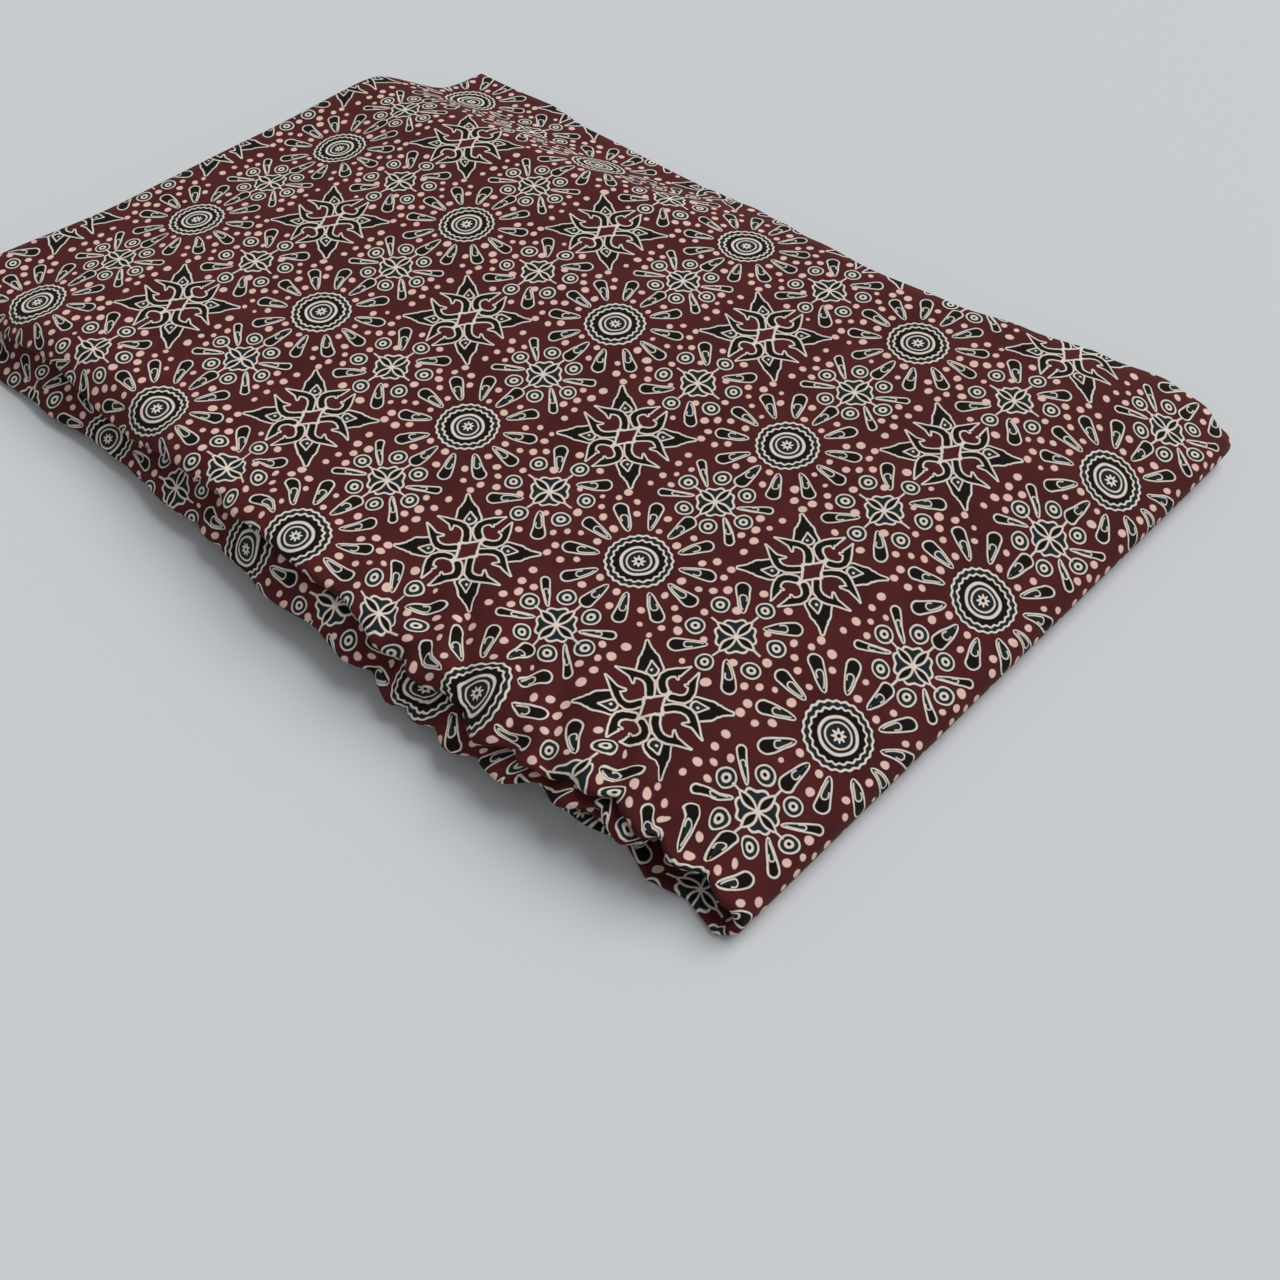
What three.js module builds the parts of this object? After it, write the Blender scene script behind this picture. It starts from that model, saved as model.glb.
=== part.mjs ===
// A length of printed cotton, doubled along its width into a strip, folded in three and then doubled over a
// spine: a soft flat pack of six runs, each of two plies.
// Millimetres, +Z up, lying on z = 0. X runs from the open end to the spine, Y from the front folds to the
// back edges.
import * as THREE from "three";

// Cloth
const SHEET = 1.0; // thickness of a ply
const PITCH = 2.3; // middle of a ply to the middle of the next
const RUN_ROOM = 2 * PITCH; // height that a run of two plies takes in the pile

// Underside: flat on the surface inside these limits, a little raised towards the rim of the pack.
const FLAT = { fromX: 45, toX: 384, fromY: 12, toY: 239, ease: 11 };
const RIM_LIFT = 0.4;

// Pack
const OPEN_X = 0; // free end of the top run
const SPINE_X = 410; // where the top run turns down
const SKEW = 0.09; // drift of the front and back edges along X

// Runs from the floor up. Front: reach of the front fold past the shoulder; the top two runs have theirs in
// the shoulder's table. Long: Y of the back edge of the ply that crosses the pack. Short: Y of the other
// ply's edge, at the open end and at the spine. Wave and phase: swing of the front fold along X.
const RUNS = [
  { level: 0, front: 21, long: 252, shortOpen: 206, shortSpine: 232, wave: 1.6, phase: 0.4 },
  { level: 1, front: 19, long: 248, shortOpen: 200, shortSpine: 228, wave: 1.4, phase: 2.1 },
  { level: 2, front: 17, long: 246, shortOpen: 190, shortSpine: 224, wave: 1.2, phase: 4.0 },
  { level: 3, front: 10, long: 242, shortOpen: 193, shortSpine: 226, wave: 0.8, phase: 5.2 },
  { level: 4, front: 0, long: 238, shortOpen: 205, shortSpine: 228, wave: 1.6, phase: 1.0 },
  { level: 5, front: 0, long: 244, shortOpen: 198, shortSpine: 225, wave: 1.2, phase: 3.0 },
];

// The way of the strip through the pack: along each level to the X where it turns to the next one.
const ROUTE = [
  { level: 5, turn: SPINE_X, steps: 7 },
  { level: 0, turn: 5, steps: 4 },
  { level: 1, turn: 370, steps: 6 },
  { level: 4, turn: 3, steps: 4 },
  { level: 3, turn: 352, steps: 4 },
  { level: 2, turn: 72, steps: 0 },
];

// Room that a run keeps in the pile past its spine fold and towards its open end: where it starts to close,
// where it is least, and the share left there.
const SPINE_CLOSE = [
  { level: 1, from: 380, to: 416, left: 0.4 },
  { level: 2, from: 356, to: 404, left: 0.1 },
  { level: 3, from: 356, to: 404, left: 0.1 },
  { level: 4, from: 380, to: 416, left: 0.4 },
];
const OPEN_CLOSE = [
  { level: 0, from: 60, to: 0, left: 0.94 },
  { level: 1, from: 60, to: 0, left: 0.94 },
  { level: 2, from: 71, to: 16, left: 0.05 },
  { level: 3, from: 60, to: 0, left: 0.94 },
  { level: 4, from: 60, to: 0, left: 0.94 },
];

// The back is pressed flat near the open end and stands at its full height past these X. Close: stretch of Y
// past a short ply's edge in which its room closes. Press: Y where the long plies start to lie closer, Y
// where they are closest, and the share of their room left there.
const PRESSED = { from: 120, to: 300 };
const BACK_CLOSE = { pressed: 38, standing: 90 };
const BACK_PRESS = { from: 212, to: 262, pressed: 0.62, standing: 0.95 };

// Back edge of the top ply, by X: how far it lies past the Y that its run gives.
const BACK = [
  { x: 0, past: 14 },
  { x: 50, past: 14 },
  { x: 90, past: 9 },
  { x: 170, past: 7.5 },
  { x: 190, past: 6 },
  { x: 210, past: 1 },
  { x: 230, past: -4 },
  { x: 265, past: -9 },
  { x: 300, past: -6.5 },
  { x: 330, past: 0 },
  { x: 360, past: 7 },
  { x: 385, past: 17 },
  { x: 398, past: 19 },
  { x: 410, past: 13 },
];

// Front shoulder, by X: how far past it the cloth starts to bend down, the reach of the top fold and of the
// one under it, measured along the cloth, and the angle through which both bend.
const SHOULDER_RADIUS = 9; // of the lower of the two
const FRONT_GAP = 0.5; // left between it and the runs behind
const FRONT = [
  { x: 0, start: 0, top: 14, under: 26, angle: 38 },
  { x: 70, start: 0, top: 13.5, under: 28, angle: 40 },
  { x: 110, start: 0, top: 16.5, under: 27, angle: 40 },
  { x: 155, start: 7, top: 14, under: 28, angle: 41 },
  { x: 200, start: 14, top: 18, under: 29, angle: 44 },
  { x: 245, start: 17, top: 21, under: 30.5, angle: 40 },
  { x: 290, start: 13, top: 25, under: 36, angle: 36 },
  { x: 318, start: 12, top: 26, under: 35, angle: 30 },
  { x: 342, start: 14, top: 22.5, under: 29, angle: 20 },
  { x: 364, start: 17, top: 18.5, under: 23, angle: 8 },
  { x: 410, start: 20, top: 17, under: 17, angle: 0 },
];

// Open end: it steps in at the back corner and stands out at the front one.
const OPEN_END = { stepIn: 17, stepFrom: 207, stepTo: 236, standOut: 7, standTo: 70, reach: 120 };

// Sections: stations along X for the upper and the lower runs, and across from the back to the shoulder.
const UPPER_X = [18, 45, 85, 130, 170, 210, 255, 305, 340, 365, 388];
const LOWER_X = [18, 45, 85, 130, 170, 210, 255, 325, 352, 384];
const LONG_Y = [230, 222, 214, 205, 195, 180, 125, 60, 12, 0];
const SHORT_Y = [180, 125, 60, 12, 0];
const FRONT_PARTS = [0.24, 0.46, 0.62, 0.76, 0.88, 1.0];
const NOSE_STEPS = 4;

const mix = THREE.MathUtils.lerp;
const smooth = (from, to, value) => {
  const t = THREE.MathUtils.clamp((value - from) / (to - from), 0, 1);
  return t * t * (3 - 2 * t);
};

// A column of a table at any X, eased between its rows.
function columnAt(table, column, x) {
  const after = table.findIndex((row) => row.x >= x);
  if (after <= 0) return after === 0 ? table[0][column] : table.at(-1)[column];
  const [low, high] = [table[after - 1], table[after]];
  return mix(low[column], high[column], smooth(low.x, high.x, x));
}

const frontAt = (column, x) => columnAt(FRONT, column, x);
const longEdge = (level, x) => RUNS[level].long + (level === 5 ? columnAt(BACK, "past", x) : 0);

const shortEdge = (level, x) => mix(RUNS[level].shortOpen, RUNS[level].shortSpine, smooth(40, 380, x));

// Share of its full room that a ply keeps in the pile at a place. The long ply is the lower one of the
// even levels and the upper one of the odd levels.
function roomShare(ply, x, y) {
  const level = Math.floor(ply / 2);
  const spine = SPINE_CLOSE.find((row) => row.level === level);
  const open = OPEN_CLOSE.find((row) => row.level === level);
  const edge = shortEdge(level, x);
  const standing = smooth(PRESSED.from, PRESSED.to, x);
  const left = mix(BACK_PRESS.pressed, BACK_PRESS.standing, standing);
  const closed = edge + mix(BACK_CLOSE.pressed, BACK_CLOSE.standing, standing);
  const isLong = ply % 2 === level % 2;
  let share = isLong ? mix(1, left, smooth(BACK_PRESS.from, BACK_PRESS.to, y)) : 1 - smooth(edge, closed, y);
  if (spine) share *= mix(1, spine.left, smooth(spine.from, spine.to, x));
  if (open) share *= mix(1, open.left, smooth(open.from, open.to, x));
  return share;
}

// Rise of the lowest ply at a place: none on the flat underside, all of it at the rim.
function rimLift(x, y) {
  const { fromX, toX, fromY, toY, ease } = FLAT;
  const alongX = smooth(fromX, fromX - ease, x) + smooth(toX, toX + ease, x);
  const alongY = smooth(fromY, fromY - ease, y) + smooth(toY, toY + ease, y);
  return RIM_LIFT * Math.max(alongX, alongY);
}

// Height of the middle of a ply where it lies on the plies below.
function plyHeight(ply, x, y) {
  let height = SHEET / 2 + rimLift(x, y);
  for (let below = 0; below < ply; below += 1) height += PITCH * roomShare(below, x, y);
  return height;
}

// Two runs turn into each other under the top one at the open end: there their fronts are drawn in, and the
// bend of the upper one straightens.
const bendShare = (x) => smooth(3, 16, x);
const reachShare = (x, least) => mix(least, 1, smooth(12, 42, x));

// Angle through which the front of a run bends down at this X.
function frontAngle(level, x) {
  const angle = THREE.MathUtils.degToRad(frontAt("angle", x));
  if (level === 5) return angle;
  return level === 4 ? angle * bendShare(x) : 0;
}

// How far out a run can reach below the bend of the fourth one.
function reachUnderBend(level, x) {
  const start = frontAt("start", x) - PITCH;
  const angle = frontAngle(4, x);
  const between = plyHeight(8, x, 0) - plyHeight(2 * level, x, 0);
  const drop = Math.max(between - PITCH - SHEET - FRONT_GAP, 0);
  const bend = SHOULDER_RADIUS * (1 - Math.cos(angle));
  if (drop < bend) return start + Math.sqrt(SHOULDER_RADIUS ** 2 - (SHOULDER_RADIUS - drop) ** 2);
  if (angle < 0.01) return Infinity;
  return start + SHOULDER_RADIUS * Math.sin(angle) + (drop - bend) / Math.tan(angle);
}

// How far a run's front fold reaches past the shoulder, along the cloth.
function frontReach(level, x) {
  const run = RUNS[level];
  const wave = run.wave * Math.sin(x / 31 + run.phase);
  if (level === 5) return frontAt("top", x) + wave;
  if (level === 4) return (frontAt("under", x) + wave) * reachShare(x, 0.1);
  const share = level === 3 ? reachShare(x, 0.5) : 1;
  return Math.min((run.front + wave) * share, Math.max(reachUnderBend(level, x), 1.4));
}

// Stations along the strip: on a run, or part of the way round the turn to the level it joins.
function stripStations() {
  const stations = [];
  let start = OPEN_X;
  ROUTE.forEach(({ level, turn, steps }, index) => {
    const way = Math.sign(turn - start);
    const inside = (x) => (x - start) * way > 6 && (turn - x) * way > 6;
    const grid = (level >= 4 ? UPPER_X : LOWER_X).filter(inside);
    if (way < 0) grid.reverse();
    const places = index === 0 ? [start, ...grid, turn] : [...grid, turn];
    for (const x of places) stations.push({ level, x, way, joins: level, part: 0 });
    for (let step = 1; step <= steps; step += 1) {
      stations.push({ level, x: turn, way, joins: ROUTE[index + 1].level, part: step / steps });
    }
    start = turn;
  });
  return stations;
}

// Section of the doubled strip at a station: across the long ply from the back, round the front fold and
// back across the short one. A point tells how far it lies past the shoulder, how far it has dropped there,
// its slope, its side of the strip's middle (1 long, -1 short) and how far it stands ahead on the fold.
function stripSection({ level, x, joins, part }) {
  const angle = part > 0 ? 0 : frontAngle(level, x);
  const start = frontAt("start", x);
  const radius = level === 5 ? SHOULDER_RADIUS + RUN_ROOM : SHOULDER_RADIUS;
  const long = mix(longEdge(level, x), longEdge(joins, x), part);
  const short = mix(shortEdge(level, x), shortEdge(joins, x), part);
  const reach = mix(frontReach(level, x), frontReach(joins, x), part);
  const flat = (y, side) => ({ out: -y, drop: 0, slope: 0, side, ahead: 0 });
  const bent = (share, side, ahead) => {
    const flatPart = Math.min(reach * share, start);
    const along = reach * share - flatPart;
    const slope = Math.min(along / radius, angle);
    const straight = along - radius * slope;
    const out = flatPart + radius * Math.sin(slope) + straight * Math.cos(slope);
    const drop = radius * (1 - Math.cos(slope)) + straight * Math.sin(slope);
    return { out, drop, slope, side, ahead };
  };
  const points = [long, (long + LONG_Y[0]) / 2, ...LONG_Y].map((y) => flat(y, 1));
  for (const share of FRONT_PARTS) points.push(bent(share, 1, 0));
  for (let step = 1; step < NOSE_STEPS; step += 1) {
    const turned = (Math.PI * step) / NOSE_STEPS;
    points.push(bent(1, Math.cos(turned), Math.sin(turned)));
  }
  for (const share of FRONT_PARTS.toReversed()) points.push(bent(share, -1, 0));
  points.push(...[short, ...SHORT_Y].reverse().map((y) => flat(y, -1)));
  return points;
}

// Middle and half thickness of a run of two plies at a place.
function runLayer(level, x, y) {
  const low = plyHeight(2 * level, x, y);
  const high = plyHeight(2 * level + 1, x, y);
  return { middle: (low + high) / 2, half: (high - low) / 2 };
}

// Place of a section point in the pack. On a turn it goes round from its height on one run to the next.
function placeOf({ level, x, way, joins, part }, { out, drop, slope, side, ahead }) {
  const run = runLayer(level, x, -out);
  const upward = way * side * run.half;
  const forward = ahead * run.half;
  const reach = out + upward * Math.sin(slope) + forward * Math.cos(slope);
  const height = run.middle - drop + upward * Math.cos(slope) - forward * Math.sin(slope);
  if (part === 0) return new THREE.Vector3(x, -reach, height);
  const next = runLayer(joins, x, -out);
  const landing = next.middle - way * side * next.half;
  const radius = Math.abs(landing - height) / 2;
  const turned = Math.PI * part;
  const along = x + way * radius * Math.sin(turned);
  return new THREE.Vector3(along, -reach, mix(height, landing, (1 - Math.cos(turned)) / 2));
}

// Uneven outline: the open end's corners and the drift of the front and back edges.
function settle(point) {
  const { x, y, z } = point;
  const nearOpen = 1 - smooth(0, OPEN_END.reach, x);
  const stepIn = OPEN_END.stepIn * smooth(OPEN_END.stepFrom, OPEN_END.stepTo, y);
  const standOut = OPEN_END.standOut * (1 - smooth(0, OPEN_END.standTo, y));
  return new THREE.Vector3(x + (stepIn - standOut) * nearOpen, y + SKEW * x, z);
}

// Middle surface of the sheet, a row of points for each station.
const clothRows = () =>
  stripStations().map((station) => stripSection(station).map((point) => settle(placeOf(station, point))));

// Direction square to the sheet at a point of its middle surface.
function sheetNormal(rows, row, column) {
  const last = rows.length - 1;
  const end = rows[0].length - 1;
  const along = rows[Math.min(row + 1, last)][column].clone().sub(rows[Math.max(row - 1, 0)][column]);
  const across = rows[row][Math.min(column + 1, end)].clone().sub(rows[row][Math.max(column - 1, 0)]);
  return along.cross(across).normalize();
}

// Closed solid of the sheet: both of its faces and its four edges.
function sheetGeometry(rows) {
  const columns = rows[0].length;
  const count = rows.length * columns;
  const faces = [[], []];
  rows.forEach((points, row) =>
    points.forEach((point, column) => {
      const normal = sheetNormal(rows, row, column);
      faces[0].push(point.clone().addScaledVector(normal, -SHEET / 2));
      faces[1].push(point.clone().addScaledVector(normal, SHEET / 2));
    }),
  );
  const index = [];
  const quad = (a, b, c, d) => index.push(a, b, c, a, c, d);
  for (let row = 0; row + 1 < rows.length; row += 1) {
    const near = row * columns;
    const far = near + columns;
    for (let a = near; a + 1 < far; a += 1) {
      const b = a + columns;
      quad(a, a + 1, b + 1, b);
      quad(count + a, count + b, count + b + 1, count + a + 1);
    }
    quad(near, far, count + far, count + near);
    quad(far - 1, count + far - 1, count + far + columns - 1, far + columns - 1);
  }
  const end = (rows.length - 1) * columns;
  for (let a = 0; a + 1 < columns; a += 1) {
    const b = end + a;
    quad(a, count + a, count + a + 1, a + 1);
    quad(b, b + 1, count + b + 1, count + b);
  }
  const geometry = new THREE.BufferGeometry().setFromPoints([...faces[0], ...faces[1]]);
  geometry.setIndex(index);
  geometry.computeBoundingBox();
  const middle = geometry.boundingBox.getCenter(new THREE.Vector3());
  geometry.translate(-middle.x, -middle.y, -geometry.boundingBox.min.z);
  geometry.computeVertexNormals();
  return geometry;
}

const cotton = new THREE.MeshStandardMaterial({ color: 0x5a2228, roughness: 0.9, metalness: 0 });
const cloth = new THREE.Mesh(sheetGeometry(clothRows()), cotton);
cloth.name = "cloth";

const pack = new THREE.Group();
pack.name = "folded_cloth";
pack.add(cloth);

export default pack;
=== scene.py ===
import math
from collections import namedtuple

import bpy
import numpy as np
from mathutils import Matrix, Vector


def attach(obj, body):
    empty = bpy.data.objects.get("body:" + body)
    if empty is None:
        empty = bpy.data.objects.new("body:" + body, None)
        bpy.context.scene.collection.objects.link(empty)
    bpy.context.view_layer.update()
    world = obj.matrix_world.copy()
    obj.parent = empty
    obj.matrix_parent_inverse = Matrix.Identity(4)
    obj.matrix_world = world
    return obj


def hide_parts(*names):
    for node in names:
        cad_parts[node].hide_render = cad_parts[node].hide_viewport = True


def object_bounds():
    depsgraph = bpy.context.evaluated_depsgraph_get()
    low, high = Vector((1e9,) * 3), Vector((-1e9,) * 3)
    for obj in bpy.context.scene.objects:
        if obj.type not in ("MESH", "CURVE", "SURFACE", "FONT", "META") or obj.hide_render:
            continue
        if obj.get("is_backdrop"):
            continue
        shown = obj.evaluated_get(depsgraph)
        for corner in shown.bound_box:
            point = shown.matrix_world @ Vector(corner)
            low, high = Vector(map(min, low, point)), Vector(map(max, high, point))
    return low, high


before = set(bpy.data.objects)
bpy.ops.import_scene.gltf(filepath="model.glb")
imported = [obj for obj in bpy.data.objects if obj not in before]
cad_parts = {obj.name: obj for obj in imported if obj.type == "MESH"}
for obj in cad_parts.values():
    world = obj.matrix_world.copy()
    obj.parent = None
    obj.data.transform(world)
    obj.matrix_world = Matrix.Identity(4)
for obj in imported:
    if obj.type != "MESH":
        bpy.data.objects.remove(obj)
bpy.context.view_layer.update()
MM = 0.001

# %% [markdown]
# ## The folds
# A folded sheet could be draped by a cloth simulation, but a pack pressed flat by hand keeps its folds
# where they were put, so each row of the sheet is placed by rule. X runs from the open end to the spine
# and Y from the front folds to the back edges, in millimetres. Runs are counted from the floor up.
# %% Sizes of the pack
SHEET = 1.0  # thickness of a ply
PITCH = 2.3  # middle of a ply to the middle of the next
SPINE_X = 410  # where the top run turns down
SKEW = 0.09  # drift of the front and back edges along X
MIDDLE = (204.28, 136.64)  # X and Y of the frame's origin in the pack
TOP, UNDER = 5, 4  # the two runs that droop over the front

# Runs: how far the front fold comes forward (the top two have theirs in FRONT), Y of the long ply's back
# edge, of the short ply's at the open end and at the spine, and height and start of the front's wave.
Run = namedtuple("Run", "front long short_open short_spine wave phase")
RUNS = [
    Run(21, 252, 206, 232, 1.6, 0.4),
    Run(19, 248, 200, 228, 1.4, 2.1),
    Run(17, 246, 190, 224, 1.2, 4.0),
    Run(10, 242, 193, 226, 0.8, 5.2),
    Run(0, 238, 205, 228, 1.6, 1.0),
    Run(0, 244, 198, 225, 1.2, 3.0),
]

# The way of the strip: along each run to the X of its turn, then round the turn in steps. Rows of the
# sheet lie a spacing apart, and closer past CRUMPLED_X, where the front folds are crumpled.
Leg = namedtuple("Leg", "level turn steps spacing crumpled")
ROUTE = [
    Leg(5, SPINE_X, 14, 3.8, 1.9),
    Leg(0, 5, 8, 14.0, 14.0),
    Leg(1, 370, 12, 14.0, 14.0),
    Leg(4, 3, 8, 5.2, 2.4),
    Leg(3, 352, 8, 14.0, 14.0),
    Leg(2, 72, 0, 14.0, 14.0),
]
CRUMPLED_X = 262

# Room that a run gives up in the pile near the spine and the open end: X where that starts and ends, and
# the share of its room that is left.
Close = namedtuple("Close", "level start end left")
CLOSES = [
    Close(1, 380, 416, 0.4),
    Close(2, 356, 404, 0.1),
    Close(3, 356, 404, 0.1),
    Close(4, 380, 416, 0.4),
    Close(0, 60, 0, 0.94),
    Close(1, 60, 0, 0.94),
    Close(2, 71, 16, 0.05),
    Close(3, 60, 0, 0.94),
    Close(4, 60, 0, 0.94),
]
PRESSED = (120, 300)  # X where the back stops being pressed flat and where it stands at its full height
BACK_CLOSE = (38, 90)  # stretch of Y past a short ply's edge in which its room closes, pressed and standing
BACK_PRESS = (212, 262)  # Y where the long plies start to lie closer and where they are closest
BACK_LEFT = (0.62, 0.95)  # share of their room that is left there, pressed and standing

# Back edge of the top ply by X: how far it lies from its run's own.
Back = namedtuple("Back", "x past")
BACK = [
    Back(0, 14), Back(50, 14), Back(90, 9), Back(170, 7.5), Back(190, 6), Back(210, 1), Back(230, -4),
    Back(265, -9), Back(300, -6.5), Back(330, 0), Back(360, 7), Back(385, 17), Back(398, 19), Back(410, 13),
]

# Front shoulder by X: where the cloth starts to bend down, the reach of the top fold and of the one under
# it along the cloth, and the angle of the bend.
Front = namedtuple("Front", "x start top under angle")
FRONT = [
    Front(0, 0, 14, 26, 38),
    Front(70, 0, 13.5, 28, 40),
    Front(110, 0, 16.5, 27, 40),
    Front(155, 7, 14, 28, 41),
    Front(200, 14, 18, 29, 44),
    Front(245, 17, 21, 30.5, 40),
    Front(290, 13, 25, 36, 36),
    Front(318, 12, 26, 35, 30),
    Front(342, 14, 22.5, 29, 20),
    Front(364, 17, 18.5, 23, 8),
    Front(410, 20, 17, 17, 0),
]
SHOULDER_RADIUS = 9
NO_BEND = 0.01  # angle in radians under which a fold counts as flat
FRONT_GAP = 0.5  # left between the bent folds and those that stop short of them
LEAST_REACH = 1.4  # of a fold that stops short
WAVE_LENGTH = 31  # mm of X to one radian of a front fold's wave
SHORT_EDGES = (40, 380)  # X where the short plies' edges leave the open end's line and meet the spine's
UNDER_BENDS = (3, 16)  # X where the second fold starts to bend and where it bends in full
DRAWN_IN = (12, 42)  # X where the folds drawn in at the open end start to come out and where they are out
DRAWN_SHARE = {UNDER: 0.1, 3: 0.5}  # share of their reach that these folds keep at the open end


def mix(a, b, t):
    return a + (b - a) * t


def smooth(start, end, value):
    t = np.clip((value - start) / (end - start), 0, 1)
    return t * t * (3 - 2 * t)


print("runs", len(RUNS), "legs", len(ROUTE))

# %% [markdown]
# ## How high a ply lies
# Each ply rests on the plies below it. A ply that has ended, or that is pinched near a fold, gives up its
# room, and the cloth above sinks: this is what makes the top of a soft pack slope at its rim.
# %% Heights in the pile


def column_at(table, column, x):
    after = next((i for i, row in enumerate(table) if row.x >= x), len(table) - 1)
    low, high = table[max(after - 1, 0)], table[after]
    if low is high:
        return getattr(high, column)
    return mix(getattr(low, column), getattr(high, column), smooth(low.x, high.x, x))


def front_at(column, x):
    return column_at(FRONT, column, x)


def long_edge(level, x):
    return RUNS[level].long + (column_at(BACK, "past", x) if level == TOP else 0)


def short_edge(level, x):
    return mix(RUNS[level].short_open, RUNS[level].short_spine, smooth(*SHORT_EDGES, x))


def room_share(ply, x, y):
    """Share of its full room in the pile that a ply takes up at a place; long and short plies alternate."""
    level = ply // 2
    standing = smooth(*PRESSED, x)
    if ply % 2 == level % 2:
        share = mix(1, mix(*BACK_LEFT, standing), smooth(*BACK_PRESS, y))
    else:
        edge = short_edge(level, x)
        share = 1 - smooth(edge, edge + mix(*BACK_CLOSE, standing), y)
    for row in CLOSES:
        if row.level == level:
            share = share * mix(1, row.left, smooth(row.start, row.end, x))
    return share


def ply_height(ply, x, y):
    height = np.full_like(y, SHEET / 2)
    for below in range(ply):
        height = height + PITCH * room_share(below, x, y)
    return height


def run_layer(level, x, y):
    """Height of a run's middle and half the distance between its two plies."""
    low, high = ply_height(2 * level, x, y), ply_height(2 * level + 1, x, y)
    return (low + high) / 2, (high - low) / 2


MID_X, MID_Y = 205.0, 100.0  # a place well inside the pack
top_middle = ply_height(2 * TOP + 1, MID_X, np.array([MID_Y]))[0] + SHEET / 2
print("height of the pack in the middle:", round(top_middle, 1))

# %% [markdown]
# ## The front folds
# The top two runs droop over the front like a lip; the lower ones stop short of the droop. A fold's reach
# is measured along the cloth, so a bent fold keeps its length.
# %% Reach and bend of the front folds


def front_angle(level, x):
    angle = math.radians(front_at("angle", x))
    if level == TOP:
        return angle
    return angle * smooth(*UNDER_BENDS, x) if level == UNDER else 0.0


def reach_under_bend(level, x):
    """How far a lower run may come forward before it meets the bent fold above it."""
    start = front_at("start", x) - PITCH
    angle = front_angle(UNDER, x)
    zero = np.zeros(1)
    between = (ply_height(2 * UNDER, x, zero) - ply_height(2 * level, x, zero))[0]
    drop = max(between - PITCH - SHEET - FRONT_GAP, 0)
    bend = SHOULDER_RADIUS * (1 - math.cos(angle))
    if drop < bend:
        return start + math.sqrt(SHOULDER_RADIUS**2 - (SHOULDER_RADIUS - drop) ** 2)
    if angle < NO_BEND:
        return math.inf
    return start + SHOULDER_RADIUS * math.sin(angle) + (drop - bend) / math.tan(angle)


def front_reach(level, x):
    run = RUNS[level]
    wave = run.wave * math.sin(x / WAVE_LENGTH + run.phase)
    share = mix(DRAWN_SHARE.get(level, 1), 1, smooth(*DRAWN_IN, x))
    if level == TOP:
        return front_at("top", x) + wave
    if level == UNDER:
        return (front_at("under", x) + wave) * share
    return min((run.front + wave) * share, max(reach_under_bend(level, x), LEAST_REACH))


print("reach of the top fold:", [round(float(front_reach(TOP, x)), 1) for x in (50, 150, 250, 350)])

# %% [markdown]
# ## Stations along the strip
# The sheet is a grid with a row of points for every station along the strip. A station on a turn also
# knows which run it joins and how much of the turn is done. Stations lie close where the cloth turns or
# is seen, closest where it is crumpled, and far apart in the hidden runs.
# %% Stations
Station = namedtuple("Station", "level x way joins part")


def stations():
    start = 0.0
    yield Station(ROUTE[0].level, start, 1, ROUTE[0].level, 0.0)
    for leg, following in zip(ROUTE, ROUTE[1:] + ROUTE[-1:]):
        way = 1 if leg.turn > start else -1
        low, high = sorted([start, leg.turn])
        middle = min(max(CRUMPLED_X, low), high)
        plain = np.linspace(low, middle, math.ceil((middle - low) / leg.spacing) + 1)
        close = np.linspace(middle, high, math.ceil((high - middle) / leg.crumpled) + 1)
        for x in np.unique(np.concatenate([plain, close]))[::way][1:]:
            yield Station(leg.level, float(x), way, leg.level, 0.0)
        for step in range(1, leg.steps + 1):
            yield Station(leg.level, float(leg.turn), way, following.level, step / leg.steps)
        start = leg.turn


strip = list(stations())
print("stations along the strip:", len(strip))

# %% [markdown]
# ## The middle surface
# Each row goes across the strip, from the back edge of the long ply, round the front fold and back across
# the short ply. Every point also gets its place on the flat cloth, so the print runs on round the folds
# as it would on a real length.
# %% Rows across the strip
LONG_STEPS, FRONT_STEPS, NOSE_STEPS, SHORT_STEPS = 63, 14, 8, 18


def section(station):
    """Columns of one row: flat distance past the shoulder, side of the strip, way round the nose."""
    level, x, _, joins, part = station
    long = mix(long_edge(level, x), long_edge(joins, x), part)
    short = mix(short_edge(level, x), short_edge(joins, x), part)
    reach = mix(front_reach(level, x), front_reach(joins, x), part)
    turned = np.linspace(0, np.pi, NOSE_STEPS + 1)[1:-1]
    front = np.linspace(0, reach, FRONT_STEPS + 1)[1:]
    back = np.linspace(-long, 0, LONG_STEPS + 1)
    under = np.linspace(0, -short, SHORT_STEPS + 1)
    along = np.concatenate([back, front, np.full(turned.size, reach), front[::-1], under])
    before, after = back.size + front.size, front.size + under.size
    side = np.concatenate([np.ones(before), np.cos(turned), -np.ones(after)])
    ahead = np.concatenate([np.zeros(before), np.sin(turned), np.zeros(after)])
    turn = np.concatenate([np.zeros(before), turned, np.full(after, np.pi)])
    return reach, along, side, ahead, turn


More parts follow.
